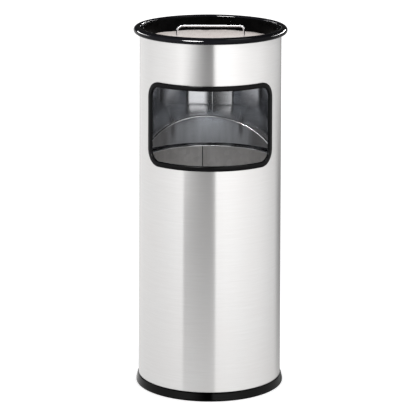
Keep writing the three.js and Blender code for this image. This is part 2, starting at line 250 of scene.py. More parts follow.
def grain_place(tree, round_scale, up_scale):
    """Texture places that are stretched round the bin's axis, for a grain that runs round it."""
    parts = node(tree, "ShaderNodeSeparateXYZ", {0: place_of(tree)})
    angle = maths(tree, "ARCTAN2", parts.outputs[0], parts.outputs[1])
    turn = {0: maths(tree, "SINE", angle), 1: maths(tree, "COSINE", angle)}
    turn[2] = maths(tree, "MULTIPLY", parts.outputs[2], up_scale / round_scale)
    flat = node(tree, "ShaderNodeCombineXYZ", turn).outputs[0]
    inputs = {0: flat, 1: (round_scale, round_scale, round_scale)}
    return node(tree, "ShaderNodeVectorMath", inputs, operation="MULTIPLY").outputs[0]


def upright(tree):
    """The direction across a grain that runs round the bin, in which highlights spread."""
    return node(tree, "ShaderNodeCombineXYZ", {2: 1.0}).outputs[0]


# ---- materials ------------------------------------------------------------------

def brushed_steel():
    """Stainless sheet with a fine horizontal grain, a broad haze and soft handling marks."""
    made, tree, shader = surface("brushed_stainless", (0.85, 0.84, 0.83), 0.27, 1.0)
    fine = noisy(tree, grain_place(tree, 5.0, 2600.0), 1.0, detail=3.0)
    coarse = noisy(tree, grain_place(tree, 2.0, 420.0), 1.0, detail=5.0, rough=0.6)
    cloud = noisy(tree, place_of(tree), 14.0, detail=3.0)
    grain = maths(tree, "ADD", maths(tree, "MULTIPLY", fine, 0.5), maths(tree, "MULTIPLY", coarse, 0.5))
    dark, light = (0.815, 0.805, 0.80, 1.0), (0.885, 0.88, 0.875, 1.0)
    tint = blended(tree, ranged(tree, grain, 0.3, 0.7, 0.0, 1.0), dark, light)
    warm = blended(tree, ranged(tree, cloud, 0.35, 0.7, 0.0, 0.35), tint, (0.85, 0.825, 0.81, 1.0))
    tree.links.new(warm, shader.inputs["Base Color"])
    rough, rougher = ranged(tree, grain, 0.3, 0.7, 0.105, 0.13), ranged(tree, cloud, 0.3, 0.7, 0.0, 0.02)
    tree.links.new(maths(tree, "ADD", rough, rougher), shader.inputs["Roughness"])
    shader.inputs["Anisotropic"].default_value = 0.75
    tree.links.new(upright(tree), shader.inputs["Tangent"])
    tree.links.new(bumped(tree, grain, 0.00001, 0.5), shader.inputs["Normal"])
    hazy = {"Base Color": warm, "Metallic": 1.0, "Roughness": 0.64}
    haze = node(tree, "ShaderNodeBsdfPrincipled", hazy)
    lobes = {"Fac": 0.36, 1: shader.outputs[0], 2: haze.outputs[0]}
    mixed = node(tree, "ShaderNodeMixShader", lobes).outputs[0]
    tree.links.new(mixed, tree.nodes["Material Output"].inputs["Surface"])
    return made


def bright_steel():
    """The shell's inside face, which was never brushed and is almost a mirror."""
    made, tree, shader = surface("bright_stainless", (0.46, 0.465, 0.48), 0.12, 1.0)
    grain = noisy(tree, grain_place(tree, 2.0, 300.0), 1.0, detail=4.0)
    wave = noisy(tree, place_of(tree), 9.0, detail=2.0)
    tint = blended(tree, grain, (0.42, 0.425, 0.44, 1.0), (0.50, 0.505, 0.52, 1.0))
    tree.links.new(tint, shader.inputs["Base Color"])
    tree.links.new(ranged(tree, grain, 0.3, 0.7, 0.09, 0.12), shader.inputs["Roughness"])
    shader.inputs["Anisotropic"].default_value = 0.8
    tree.links.new(upright(tree), shader.inputs["Tangent"])
    tree.links.new(bumped(tree, wave, 0.0004, 0.3), shader.inputs["Normal"])
    return made


def galvanised_steel():
    """Zinc-coated sheet with a soft spangle, and upright bands round the wall that are painted
    reflections.
    """
    made, tree, shader = surface("galvanised_steel", (0.62, 0.60, 0.585), 0.45, 0.3)
    where = place_of(tree)
    inputs = {"Vector": where, "Scale": 120.0, "Randomness": 1.0}
    spangle = node(tree, "ShaderNodeTexVoronoi", inputs, feature="F1").outputs["Color"]
    level = node(tree, "ShaderNodeSeparateColor", {0: spangle}).outputs[0]
    cloud = noisy(tree, where, 25.0, detail=4.0)
    # Upright bands round the wall, in colour and roughness: painted reflections of the studio, not marks
    # in the zinc.
    band = noisy(tree, grain_place(tree, 7.0, 0.6), 1.0, detail=2.0)
    mixed = maths(tree, "ADD", maths(tree, "MULTIPLY", level, 0.2), maths(tree, "MULTIPLY", cloud, 0.3))
    mixed = maths(tree, "ADD", mixed, maths(tree, "MULTIPLY", band, 0.5))
    dull, bright = (0.42, 0.405, 0.395, 1.0), (0.61, 0.59, 0.575, 1.0)
    tint = blended(tree, ranged(tree, mixed, 0.25, 0.75, 0.0, 1.0), dull, bright)
    tree.links.new(tint, shader.inputs["Base Color"])
    tree.links.new(ranged(tree, mixed, 0.25, 0.75, 0.34, 0.5), shader.inputs["Roughness"])
    tree.links.new(bumped(tree, cloud, 0.0001, 0.4), shader.inputs["Normal"])
    return made


def zinc_plated():
    made, tree, shader = surface("zinc_plated", (0.62, 0.63, 0.65), 0.28, 1.0)
    cloud = noisy(tree, place_of(tree), 180.0, detail=3.0)
    tree.links.new(ranged(tree, cloud, 0.3, 0.7, 0.2, 0.36), shader.inputs["Roughness"])
    tint = blended(tree, cloud, (0.55, 0.56, 0.57, 1.0), (0.70, 0.71, 0.73, 1.0))
    tree.links.new(tint, shader.inputs["Base Color"])
    return made


def burnished_zinc():
    """Zinc worn bright by handling, on the bucket's rim and bail."""
    made, tree, shader = surface("burnished_zinc", (0.85, 0.86, 0.88), 0.16, 0.9)
    cloud = noisy(tree, place_of(tree), 160.0, detail=3.0)
    tree.links.new(ranged(tree, cloud, 0.3, 0.7, 0.12, 0.24), shader.inputs["Roughness"])
    tint = blended(tree, cloud, (0.78, 0.785, 0.80, 1.0), (0.90, 0.905, 0.92, 1.0))
    tree.links.new(tint, shader.inputs["Base Color"])
    return made


def chromed_wire():
    made, tree, shader = surface("chromed_wire", (0.86, 0.86, 0.88), 0.08, 1.0)
    cloud = noisy(tree, place_of(tree), 300.0, detail=2.0)
    tree.links.new(ranged(tree, cloud, 0.3, 0.7, 0.05, 0.13), shader.inputs["Roughness"])
    return made


def black_plastic(name, level):
    """Glossy moulded plastic with a faint orange peel and dust-dulled patches."""
    made, tree, shader = surface(name, (0.0006, 0.0006, 0.0008), 0.06)
    shader.inputs["Specular IOR Level"].default_value = level
    where = place_of(tree)
    peel = noisy(tree, where, 260.0, detail=2.0)
    patch = noisy(tree, where, 30.0, detail=3.0)
    tree.links.new(ranged(tree, patch, 0.3, 0.7, 0.045, 0.07), shader.inputs["Roughness"])
    tint = blended(tree, patch, (0.0003, 0.0003, 0.0004, 1.0), (0.0009, 0.0009, 0.0011, 1.0))
    tree.links.new(tint, shader.inputs["Base Color"])
    tree.links.new(bumped(tree, peel, 0.000006, 0.3), shader.inputs["Normal"])
    return made


def black_rubber():
    """Extruded rubber: fine lengthwise marks and a satin bloom."""
    made, tree, shader = surface("black_rubber", (0.002, 0.002, 0.0022), 0.2)
    shader.inputs["Specular IOR Level"].default_value = 0.085
    where = place_of(tree)
    skin = noisy(tree, where, 700.0, detail=3.0)
    bloom = noisy(tree, where, 45.0, detail=3.0)
    tree.links.new(ranged(tree, bloom, 0.3, 0.7, 0.15, 0.25), shader.inputs["Roughness"])
    tint = blended(tree, bloom, (0.0015, 0.0015, 0.0017, 1.0), (0.004, 0.004, 0.0042, 1.0))
    tree.links.new(tint, shader.inputs["Base Color"])
    tree.links.new(bumped(tree, skin, 0.00003, 0.5), shader.inputs["Normal"])
    return made


def black_lacquer():
    """Stoved lacquer on the steel bowl, with faint duller patches."""
    made, tree, shader = surface("black_lacquer", (0.001, 0.001, 0.001), 0.3)
    shader.inputs["Specular IOR Level"].default_value = 0.04
    where = place_of(tree)
    peel = noisy(tree, where, 420.0, detail=2.0)
    patch = noisy(tree, where, 60.0, detail=4.0)
    tree.links.new(ranged(tree, patch, 0.3, 0.7, 0.24, 0.4), shader.inputs["Roughness"])
    black, dull = (0.0008, 0.0008, 0.0008, 1.0), (0.0025, 0.0024, 0.0024, 1.0)
    tint = blended(tree, ranged(tree, patch, 0.45, 0.8, 0.0, 1.0), black, dull)
    tree.links.new(tint, shader.inputs["Base Color"])
    tree.links.new(bumped(tree, peel, 0.00004, 0.4), shader.inputs["Normal"])
    return made


def pale_sand():
    """Fine quartz sand: pale grains with a few dark and glassy ones."""
    made, tree, shader = surface("pale_sand", (0.64, 0.585, 0.56), 0.95)
    where = place_of(tree)
    inputs = {"Vector": where, "Scale": 1300.0, "Randomness": 1.0}
    cells = node(tree, "ShaderNodeTexVoronoi", inputs, feature="F1")
    shade = node(tree, "ShaderNodeSeparateColor", {0: cells.outputs["Color"]})
    cloud = noisy(tree, where, 26.0, detail=4.0)
    pale, rosy = (0.70, 0.655, 0.63, 1.0), (0.60, 0.53, 0.505, 1.0)
    tint = blended(tree, ranged(tree, cloud, 0.3, 0.7, 0.0, 1.0), pale, rosy)
    glassy = ranged(tree, shade.outputs[0], 0.0, 1.0, 0.0, 0.5)
    grains = blended(tree, glassy, tint, (0.79, 0.755, 0.73, 1.0))
    dark = ranged(tree, shade.outputs[1], 0.93, 0.97, 0.0, 0.75)
    speckled = blended(tree, dark, grains, (0.16, 0.13, 0.11, 1.0))
    tree.links.new(speckled, shader.inputs["Base Color"])
    inverse = maths(tree, "SUBTRACT", 1.0, cells.outputs["Distance"])
    tree.links.new(bumped(tree, inverse, 0.0005, 0.7), shader.inputs["Normal"])
    return made


STEEL = brushed_steel()
BRIGHT = bright_steel()
ZINC_SHEET = galvanised_steel()
ZINC = zinc_plated()
BURNISHED = burnished_zinc()
CHROME = chromed_wire()
PLASTIC = black_plastic("black_plastic", 0.06)
DULL_PLASTIC = black_plastic("scuffed_plastic", 0.12)
RUBBER = black_rubber()
LACQUER = black_lacquer()
SAND = pale_sand()


# ---- the shell and what is fixed to it ------------------------------------------

LIP = 9.0 * MM  # width of the edging's lip
WEB = 1.8 * MM  # from the clear opening to the sheet's cut edge
APERTURE_LOW = EDGING_LOW.z + LIP
APERTURE_HIGH = EDGING_HIGH.z - LIP
APERTURE_CORNER = 19.5 * MM
EDGING_HALF_ARC = SHELL_RADIUS * math.asin(EDGING_HIGH.x / (SHELL_RADIUS + 2.1 * MM))
APERTURE_HALF_ARC = EDGING_HALF_ARC - LIP


def shell_sheet():
    """The rolled sheet, as columns that stop at the cut edge of the aperture."""
    half = APERTURE_HALF_ARC + WEB
    corner = APERTURE_CORNER + WEB
    low, high = APERTURE_LOW - WEB, APERTURE_HIGH + WEB
    half_angle = half / SHELL_RADIUS
    inside = 160
    outside = round(inside * (math.pi - half_angle) / half_angle)
    angles = [half_angle * (2 * i / inside - 1) for i in range(inside)]
    angles += [half_angle + (math.pi - half_angle) * 2 * i / outside for i in range(outside)]

    def rows(angle):
        along = min(abs(angle) * SHELL_RADIUS, half)
        into = max(0.0, along - (half - corner))
        sag = corner - math.sqrt(max(0.0, corner ** 2 - into ** 2))
        return (SHELL_LOW.z, low + sag, high - sag, SHELL_HIGH.z)

    verts, faces, inner_faces = [], [], []
    for angle in angles:
        for radius in (SHELL_RADIUS, SHELL_INNER):
            verts += [around(radius, angle, height) for height in rows(angle)]
    count = len(angles)
    for i in range(count):
        here, there = 8 * i, 8 * ((i + 1) % count)
        open_column = i < inside
        for row in range(3):
            if row == 1 and open_column:
                continue
            faces.append([here + row, there + row, there + row + 1, here + row + 1])
            inner_faces.append([here + row + 5, there + row + 5, there + row + 4, here + row + 4])
        for row in ((0, 1, 2, 3) if open_column else (0, 3)):
            faces.append([here + row, there + row, there + row + 4, here + row + 4])
    for column in (0, inside):
        start = 8 * column
        faces.append([start + 1, start + 2, start + 6, start + 5])
    made = piece("shell_sheet", verts, faces + inner_faces, "shell", ["outer_shell"],
                 [STEEL, BRIGHT])
    for face in made.data.polygons:
        centre = Vector((face.center.x, face.center.y, 0.0))
        if face.normal.dot(centre.normalized()) < -0.5:
            face.material_index = 1
    return made


def shell_seam():
    """The ground weld at the back: a slim bead that stands just proud of both faces."""
    half_width = 0.8 * MM
    proud = 0.12 * MM
    offset = 3.6 * MM
    section = []
    for side, radius in ((1, SHELL_RADIUS), (-1, SHELL_INNER)):
        for step in (-1.0, -0.5, 0.0, 0.5, 1.0):
            rise = proud * (1 - step * step) - 0.02 * MM
            section.append((offset + side * step * half_width, radius + side * rise))
    rings = []
    inset = 12 * MM
    for i in range(33):
        height = SHELL_LOW.z + inset + (SHELL_HIGH.z - SHELL_LOW.z - 2 * inset) * i / 32
        ring = [around(radius, math.pi - along / SHELL_RADIUS, height) for along, radius in section]
        rings.append(ring)
    verts, faces = looped(rings, closed=False)
    return piece("shell_seam", verts, faces, "shell", [], [BRIGHT])


def aperture_edging():
    """A U-section rubber strip swept round the aperture."""
    face, sheet = 2.6 * MM, 0.8 * MM
    section = [(LIP - 0.25 * MM, sheet)]
    section += arc(LIP - 0.6 * MM, sheet + 0.75 * MM, 0.6 * MM, -30, 60, 4)
    section += [(LIP - 1.6 * MM, face - 0.25 * MM), (LIP * 0.62, face - 0.02 * MM), (LIP * 0.42, face)]
    section += arc(2.1 * MM, face - 2.1 * MM, 2.1 * MM, 90, 180, 8)
    section += arc(2.1 * MM, 2.1 * MM - face, 2.1 * MM, 180, 270, 8)
    section += [(LIP * 0.42, -face), (LIP * 0.62, 0.02 * MM - face), (LIP - 1.6 * MM, 0.25 * MM - face)]
    section += arc(LIP - 0.6 * MM, -sheet - 0.75 * MM, 0.6 * MM, -60, 30, 4)
    section += [(LIP - 0.25 * MM, -sheet), (WEB - GAP, -sheet), (WEB - GAP, sheet)]

    half = APERTURE_HALF_ARC - APERTURE_CORNER
    low, high = APERTURE_LOW + APERTURE_CORNER, APERTURE_HIGH - APERTURE_CORNER
    stations = []
    straight_steps = {0: 8, 90: 64, 180: 8, 270: 64}
    centres = {0: (half, high), 90: (-half, high), 180: (-half, low), 270: (half, low)}
    for start, (along, height) in centres.items():
        for i in range(13):
            stations.append((along, height, math.radians(start + 90 * i / 12)))
        following = centres[(start + 90) % 360]
        for i in range(1, straight_steps[(start + 90) % 360]):
            share = i / straight_steps[(start + 90) % 360]
            stations.append((along + (following[0] - along) * share,
                             height + (following[1] - height) * share, math.radians(start + 90)))
    rings = []
    for along, height, angle in stations:
        ring = []
        for outward, out in section:
            reach = APERTURE_CORNER + outward
            ring.append(on_shell(along + reach * math.cos(angle), height + reach * math.sin(angle), out))
        rings.append(ring)
    verts, faces = looped(rings, closed=True)
    return piece("edging_strip", verts, faces, "shell", ["aperture_edging"], [RUBBER])


def top_ring():
    """The moulded ring: a round bead outside, a groove for the sheet, and a ledge."""
    top, outer = RING_HIGH.z, RING_HIGH.x
    bead = 5.65 * MM
    underside = top - 2 * bead
    skirt, inner, ledge = 118.0 * MM, 122.6 * MM, top - 3.7 * MM
    crown = 2.6 * MM  # radius of the inner edge
    groove_in, groove_out = SHELL_INNER - GAP, SHELL_RADIUS + GAP
    groove_top = SHELL_HIGH.z + GAP
    bottom = RING_LOW.z
    profile = [(groove_out, underside)]
    profile += arc(outer - bead, top - bead, bead, -90, 90, 20)
    profile += arc(inner + crown, top - crown, crown, 90, 180, 14) + [(inner, ledge)]
    profile += [(skirt + 0.4 * MM, ledge), (skirt, ledge - 0.4 * MM)]
    profile += [(skirt, bottom + 0.6 * MM), (skirt + 0.6 * MM, bottom)]
    profile += [(groove_in - 0.6 * MM, bottom), (groove_in, bottom + 0.6 * MM)]
    profile += [(groove_in, groove_top), (groove_out, groove_top)]
    verts, faces = turned(profile)
    return piece("ring_moulding", verts, faces, "shell", ["top_ring"], [PLASTIC])


def foot_ring():
    """The moulded ring round the foot, which leans in to the sheet above its upright band."""
    outer, top = FOOT_HIGH.x, FOOT_HIGH.z
    inner, ledge = 112.0 * MM, 4.0 * MM
    inside = SHELL_RADIUS + GAP
    profile = [(inner, 0.4 * MM), (inner + 0.4 * MM, 0.0)]
    profile += arc(outer - 1.2 * MM, 1.2 * MM, 1.2 * MM, -90, 0, 6)
    profile += [(outer - 0.02 * MM, 3.6 * MM), (outer - 0.3 * MM, 5.0 * MM)]
    profile += [(outer - 1.1 * MM, 8.0 * MM)]
    profile += [(inside + 1.6 * MM, top - 2.6 * MM), (inside + 0.7 * MM, top - 0.5 * MM)]
    profile += [(inside + 0.3 * MM, top), (inside, top - 0.3 * MM), (inside, ledge), (inner, ledge)]
    verts, faces = turned(profile)
    return piece("foot_moulding", verts, faces, "shell", ["foot_ring"],
                 [DULL_PLASTIC])


def base_plate():
    """The pressed disc that closes the shell, with a turned-up edge."""
    low, high, outer = PLATE_LOW.z, PLATE_HIGH.z, PLATE_HIGH.x
    sheet = 1.0 * MM
    bend = 2.0 * MM
    profile = [(0, low)]
    profile += arc(outer - bend, low + bend, bend, -90, 0, 6)
    profile += [(outer, high), (outer - sheet, high)]
    profile += arc(outer - bend, low + bend, bend - sheet, 0, -90, 4)
    profile += [(0, low + sheet)]
    verts, faces = turned(profile)
    return piece("base_disc", verts, faces, "shell", ["base_plate"],
                 [ZINC_SHEET])


# ---- the ash bowl ---------------------------------------------------------------

def ash_bowl():
    """A drawn steel bowl that hangs by its flange."""
    rim, floor = BOWL_HIGH.z, BOWL_LOW.z
    flange, wall, sheet, corner = BOWL_HIGH.x, 117.0 * MM, 1.0 * MM, 6.0 * MM
    bend = 1.0 * MM
    profile = [(0, floor)]
    profile += arc(wall - corner, floor + corner, corner, -90, 0, 8)
    profile += [(wall, rim - sheet - 0.3 * MM), (wall + 0.3 * MM, rim - sheet)]
    profile += arc(flange - sheet / 2, rim - sheet / 2, sheet / 2, -90, 90, 6)
    profile += arc(wall - sheet + bend, rim - bend, bend, 90, 180, 6)
    profile += arc(wall - corner, floor + corner, corner - sheet, 0, -90, 8)
    profile += [(0, floor + sheet)]
    verts, faces = turned(profile)
    return piece("bowl_pressing", verts, faces, "ash_tray", ["ash_bowl"],
                 [LACQUER])


def sand_height(x, y):
    """The sand's height over its CAD top, at a place in the bowl. It is mostly negative."""
    slow = noise.noise(Vector((x * 17.0, y * 17.0, 3.1)))
    quick = noise.noise(Vector((x * 70.0, y * 70.0, 9.7)))
    ripple = noise.noise(Vector((x * 240.0, y * 240.0, 5.3)))
    hollow = 1.6 * MM * math.exp(-((x / 0.045) ** 2 + ((y - 0.11) / 0.05) ** 2))
    settled = 0.4 * MM
    return 1.2 * MM * slow + 0.5 * MM * quick + 0.18 * MM * ripple - settled - hollow


def sand_fill():
    """Loose sand with an uneven surface, drawn up a little against the wall."""
    radius = SAND_HIGH.x
    rings, sectors = 60, 180
    edge, edge_rise = 0.93, 0.8 * MM  # where the sand starts to rise to the wall, and how far
    verts, faces = [(0.0, 0.0, SAND_HIGH.z + sand_height(0.0, 0.0))], []
    for ring in range(1, rings + 1):
        share = ring / rings
        reach = radius * share
        for sector in range(sectors):
            x, y, top = around(reach, 2 * math.pi * sector / sectors, SAND_HIGH.z)
            lift = edge_rise * max(0.0, (share - edge) / (1 - edge)) ** 2
            verts.append((x, y, top + sand_height(x, y) + lift))
    corner = 4.7 * MM
    under = arc(radius - corner, SAND_LOW.z + corner, corner, 0, -90, 5)
    for reach, height in under:
        verts += [around(reach, 2 * math.pi * sector / sectors, height) for sector in range(sectors)]
    for sector in range(sectors):
        faces.append([0, 1 + sector, 1 + (sector + 1) % sectors])
    for ring in range(rings + len(under) - 1):
        here, there = 1 + ring * sectors, 1 + (ring + 1) * sectors
        for sector in range(sectors):
            following = (sector + 1) % sectors
            faces.append([here + sector, there + sector, there + following, here + following])
    last = len(verts) - sectors
    faces.append([last + sector for sector in range(sectors)])
    return piece("sand_bed", verts, faces, "ash_tray", ["sand_fill"], [SAND], crease=60)


def ash_handle():
    """The chromed wire handle, bent by hand a little tighter on the right."""
    radius, drop = 1.7 * MM, 1.3 * MM
    half = HANDLE_HIGH.x - 2.0 * MM
    bar = HANDLE_HIGH.z - 2.0 * MM - drop
    left, right = 10.0 * MM, 6.5 * MM
    line = [(-half, HANDLE_LOW.z), (-half, bar - 30 * MM)]
    line += arc(left - half, bar - left, left, 180, 90, 12)
    line += [(0, bar)]
    line += arc(half - right, bar - right, right, 90, 0, 12)
    line += [(half, bar - 30 * MM), (half, HANDLE_LOW.z)]
    points = [(x, 0.0, z) for x, z in line]
    verts, faces = wire(points, radius, (0, 1, 0), sides=28)
    return piece("handle_wire", verts, faces, "ash_tray", ["ash_handle"],
                 [CHROME], crease=50)


def handle_fixings():
    """A washer and a chamfered nut under the bowl for each leg."""
    for side in ("left", "right"):
        low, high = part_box(f"handle_washer_{side}")
        middle = (low + high) / 2
        hole, outer, chamfer = 2.3 * MM, high.x - middle.x, 0.15 * MM
        profile = [(hole, low.z), (outer - chamfer, low.z), (outer, low.z + chamfer)]
        profile += [(outer, high.z - chamfer), (outer - chamfer, high.z), (hole, high.z)]
        verts, faces = turned(profile, 48)
        verts = [(x + middle.x, y, z) for x, y, z in verts]
        piece(f"washer_{side}", verts, faces, "ash_tray", [f"handle_washer_{side}"],
              [ZINC])

        low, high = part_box(f"handle_nut_{side}")
        verts, faces = hexagon_nut(low.z, high.z, (high.x - low.x) / 2, hole)
        verts = [(x + middle.x, y, z) for x, y, z in verts]
        piece(f"nut_{side}", verts, faces, "ash_tray", [f"handle_nut_{side}"],
              [ZINC])


def hexagon_nut(low, high, corner, hole):
    """A nut with its corners chamfered at both faces."""
    sides = 48
    chamfer = 0.45 * MM
    flat = corner * math.cos(math.pi / 6)

    def reach(angle):
        return flat / math.cos((angle + math.pi / 6) % (math.pi / 3) - math.pi / 6)

    rings = []
    for i in range(sides):
        angle = 2 * math.pi * i / sides
        outer = reach(angle)
        face = min(outer, flat * 0.97)
        drop = chamfer * (outer - face) / (corner - flat * 0.97)
        section = [(hole, low), (face, low), (outer, low + drop)]
        section += [(outer, high - drop), (face, high), (hole, high)]
        rings.append([(r * math.cos(angle), r * math.sin(angle), z) for r, z in section])
    return looped(rings, closed=True)


# ---- the bucket -----------------------------------------------------------------

BUCKET_INNER = 112.4 * MM
BUCKET_SHEET = 0.8 * MM
CURL = 2.4 * MM
CURL_CENTRE = BUCKET_INNER + CURL
CURL_HEIGHT = WALL_HIGH.z - CURL
SEAM_OFFSET = 8.5 * MM  # from the middle between the ears, along the back of the wall
SEAM_WIDTH = 6.0 * MM
SEAM_ANGLE = math.pi + BUCKET_TURN - SEAM_OFFSET / BUCKET_INNER
BAIL_END = 106.2 * MM  # from the axis to the peened ends
BAIL_HEAD = 1.4 * MM  # thickness of a peened end


def bucket_wall():
    """A rolled wall with its rim curled out round a wire."""
    outer = BUCKET_INNER + BUCKET_SHEET
    profile = [(BUCKET_INNER, WALL_LOW.z), (outer, WALL_LOW.z)]
    profile += arc(CURL_CENTRE, CURL_HEIGHT, CURL - BUCKET_SHEET, 180, -110, 16)
    profile += arc(CURL_CENTRE, CURL_HEIGHT, CURL, -110, 180, 24)
    verts, faces = turned(profile)
    made = piece("bucket_sheet", verts, faces, "bucket", ["bucket_wall"],
                 [ZINC_SHEET, BURNISHED])
    for face in made.data.polygons:
        if face.center.z > CURL_HEIGHT:
            face.material_index = 1
    return made


def up_the_wall(section):
    """A strip up the bucket's wall, from (along, out) places measured from the seam's middle."""
    rings = []
    for height in (BASE_HIGH.z + GAP, CURL_HEIGHT):
        rings.append([around(BUCKET_INNER + out, SEAM_ANGLE - along / BUCKET_INNER, height)
                      for along, out in section])
    return looped(rings, closed=False)


def bucket_seam():
    """The folded lap seam inside the bucket: a flat strip with rounded edges."""
    width, step = SEAM_WIDTH, 0.8 * MM
    section = [(-width / 2, 0.2 * MM), (-width / 2, -0.2 * MM)]
    section += arc(0.45 * MM - width / 2, 0.45 * MM - step, 0.45 * MM, 180, 270, 3)
    section += arc(width / 2 - 0.45 * MM, 0.45 * MM - step, 0.45 * MM, 270, 360, 3)
    section += [(width / 2, -0.2 * MM), (width / 2, 0.2 * MM)]
    verts, faces = up_the_wall(section)
    return piece("bucket_lap_seam", verts, faces, "bucket", [], [ZINC_SHEET])


def lap_shade_line():
    """The dark line beside the lap's edge, drawn as a slim black bead on the wall: painted shade under
    the lap's step.
    """
    half, proud = 0.75 * MM, 0.12 * MM
    middle = SEAM_WIDTH / 2 + half
    section = [(-half, 0.2 * MM), (-half, 0.0), (0.0, -proud), (half, 0.0), (half, 0.2 * MM)]
    # The black bead is painted shade at the lap's step, not a part of the seam.
    verts, faces = up_the_wall([(-middle - along, out) for along, out in section])
    return piece("bucket_lap_line", verts, faces, "bucket", [], [LACQUER])


def bucket_base():
    low, high, outer = BASE_LOW.z, BASE_HIGH.z, BASE_HIGH.x
    bend = 2.0 * MM
    profile = [(0, high - BUCKET_SHEET)]
    profile += arc(outer - bend, high - bend, bend - BUCKET_SHEET, 90, 0, 4)
    profile += [(outer - BUCKET_SHEET, low), (outer, low)]
    profile += arc(outer - bend, high - bend, bend, 0, 90, 6)
    profile += [(0, high)]
    verts, faces = turned(profile)
    return piece("bucket_bottom", verts, faces, "bucket", ["bucket_base"],
                 [ZINC_SHEET])


def rim_wire():
    radius = (RIM_HIGH.z - RIM_LOW.z) / 2
    centre = (RIM_HIGH.z + RIM_LOW.z) / 2
    profile = arc(CURL_CENTRE, centre, radius, 0, 360, 12)[:-1]
    verts, faces = turned(profile, 120)
    return piece("rim_stiffener", verts, faces, "bucket", ["bucket_rim_wire"],
                 [ZINC])


def bail_line():
    """The middle of the bail's wire in its own plane, from one peened end to the other."""
    reach, rise, leg, bend = 114.3 * MM, 90.0 * MM, 7.0 * MM, 2.5 * MM
    centre = (rise ** 2 - reach ** 2 - leg ** 2) / (2 * (rise - leg))
    bow = rise - centre
    start = math.degrees(math.asin((leg - centre) / bow))
    line = [(BAIL_END, 0), (BAIL_END + BAIL_HEAD, 0)]
    line += arc(reach - bend, bend, bend, -90, 0, 8)
    line += arc(0, centre, bow, start, 180 - start, 120)
    line += arc(bend - reach, bend, bend, 180, 270, 8)
    return line + [(-BAIL_END - BAIL_HEAD, 0), (-BAIL_END, 0)]


def bucket_bail():
    """The wire bail, with peened ends inside the ears."""
    radius = 1.6 * MM
    line = [raised(x, y, 0.0) for x, y in bail_line()]
    verts, faces = wire(line, radius, raised(0, 0, 1.0))
    verts = [(x, y, z + PIVOT) for x, y, z in verts]
    made = piece("bail_wire", verts, faces, "bail", ["bucket_bail"],
                 [BURNISHED], crease=50)
    for side in (-1, 1):
        head = [(0, 0), (1.6 * MM, 0.0), (3.0 * MM, 0.35 * MM), (3.2 * MM, 0.8 * MM)]
        head += [(3.0 * MM, BAIL_HEAD), (0, BAIL_HEAD)]
        verts, faces = turned(head, 32)
        inward = [turned_with_bucket((side * (BAIL_END + z), y, x)) for x, y, z in verts]
        inward = [(x, y, z + PIVOT) for x, y, z in inward]
        name = "bail_head_right" if side > 0 else "bail_head_left"
        piece(name, inward, faces, "bail", [], [ZINC])
    return made


def raised(x, y, out):
    """A place in the bail's plane, y out from the pivots, as the bail stands at rest."""
    cos, sin = math.cos(BAIL_TILT), math.sin(BAIL_TILT)
    return turned_with_bucket((x, y * cos - out * sin, y * sin + out * cos))


def bucket_ears():
    """Curved ear plates inside the wall, with a rolled nose round the pivot hole."""
    inner, outer = 110.6 * MM, 112.1 * MM
    tail, half, nose, hole = 26.0 * MM, 12.0 * MM, 7.0 * MM, 2.1 * MM
    outline = [(0.9 * half, -tail), (half, -0.97 * tail), (half, -tail / 2)]
    outline += arc(0, 0, nose, -10, 190, 24)
    outline += [(-half, -tail / 2), (-half, -0.97 * tail), (-0.9 * half, -tail)]
    # The hole's edge is split into as many points as the outline, so that faces join them.
    rim = []
    for y, z in outline:
        angle = math.atan2(z, y)
        rim.append((hole * math.cos(angle), hole * math.sin(angle)))
    for side, label in ((-1, "left"), (1, "right")):
        rings = []
        for (y, z), (hy, hz) in zip(outline, rim):
            ring = []
            corners = (((y, z), outer), ((hy, hz), outer), ((hy, hz), inner), ((y, z), inner))
            for (sy, sz), radius in corners:
                x = math.sqrt(radius ** 2 - sy ** 2)
                ring.append(turned_with_bucket((side * x, side * sy, PIVOT + sz)))
            rings.append(ring)
        verts, faces = looped(rings, closed=True)
        piece(f"ear_plate_{label}", verts, faces, "bucket", [f"bucket_ear_{label}"],
              [ZINC_SHEET])


def ear_rivets():
    """Domed rivets through the ears and the wall."""
    shank, head, rise = 1.5 * MM, 3.0 * MM, 1.2 * MM
    start, end = 110.3 * MM, 113.5 * MM
    dome = [(head * math.sin(i * math.pi / 16), rise * math.cos(i * math.pi / 16)) for i in range(1, 8)]
    profile = [(0, start - rise)]
    profile += [(radius, start - drop) for radius, drop in dome]
    profile += [(head, start), (shank, start), (shank, end), (head, end)]
    profile += [(radius, end + drop) for radius, drop in reversed(dome)]
    profile += [(0, end + rise)]
    verts, faces = turned(profile, 32)
    for label in ("left", "right"):
        for row in ("front", "rear"):
            low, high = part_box(f"ear_rivet_{label}_{row}")
            height = (low.z + high.z) / 2
            angle = math.atan2((low.y + high.y) / 2, (low.x + high.x) / 2)
            cos, sin = math.cos(angle), math.sin(angle)
            placed = [(cos * z - sin * y, sin * z + cos * y, height + x) for x, y, z in verts]
            piece(f"rivet_{label}_{row}", placed, faces, "bucket", [f"ear_rivet_{label}_{row}"],
                  [ZINC])


# ---- studio ---------------------------------------------------------------------

# Brightness of the panels round the bin, by degrees round from the camera, above and below
# a step that is given in degrees of elevation. The levels were tuned.
PANELS_HIGH = (
    (-180, 0.90), (-147, 1.01), (-115, 0.92), (-95, 1.00), (-77, 1.06), (-60, 1.18), (-50, 1.34),
    (-15, 1.40), (5, 1.58), (26, 1.56), (40, 1.44), (54, 1.24), (69, 1.10), (85, 1.03),
    (105, 0.84), (129, 0.70), (148, 0.55), (170, 0.20),
)
PANELS_LOW = (
    (-180, 0.87), (-147, 0.96), (-115, 0.94), (-95, 0.95), (-77, 1.00), (-60, 1.08), (-50, 1.12),
    (-15, 1.12), (5, 1.31), (26, 1.31), (40, 1.25), (54, 1.18), (69, 1.10), (85, 1.02),
    (105, 0.87), (129, 0.68), (148, 0.14), (170, 0.14),
)
PANEL_STEP = (-10.2, -13.0)
GAP_LIGHT = 0.08  # the dark gap between the panels, at the camera
GAP_FOOT = 0.84  # where the gap fades into the floor
